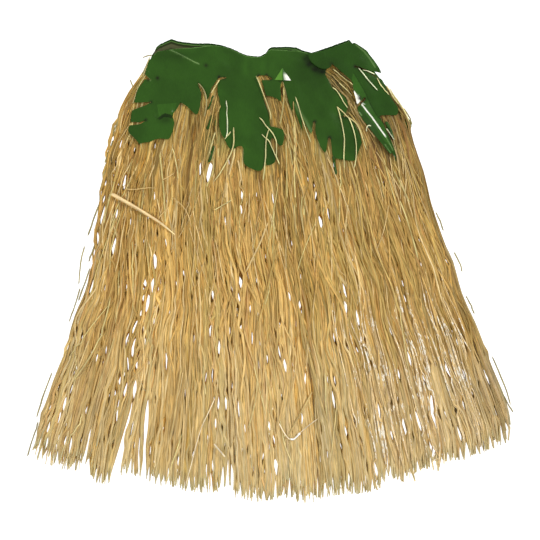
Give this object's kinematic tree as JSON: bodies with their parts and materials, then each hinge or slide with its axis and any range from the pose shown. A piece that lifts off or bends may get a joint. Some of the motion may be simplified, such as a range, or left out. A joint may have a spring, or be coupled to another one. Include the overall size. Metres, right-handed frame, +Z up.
{
  "type": "grass skirt",
  "caption": "Raffia hula skirt laid flat, with a wavy elastic waistband and green split-leaf cloth sewn over the top of a long fanned fringe.",
  "frame": {"origin": "bottom centre of the bounding box, on the surface the skirt lies on", "axes": "+Z up out of the laid skirt's front, +Y from the hem to the waist, +X across to the skirt's right side as seen from above"},
  "size_m": [0.756, 0.7194, 0.0241],
  "materials": {
    "raffia": "dry natural raffia strands, tan, with a slight straw shine",
    "leaf_cloth": "deep green satin-faced leaf cloth, glossy on its folds",
    "band_cloth": "deep green satin casing over elastic"
  },
  "bodies": {
    "root": {"waistband": "band_cloth", "fringe_back": "raffia", "fringe_front": "raffia", "leaves_front": "leaf_cloth", "leaf_side": "leaf_cloth", "leaves_back": "leaf_cloth"}
  },
  "joints": []
}
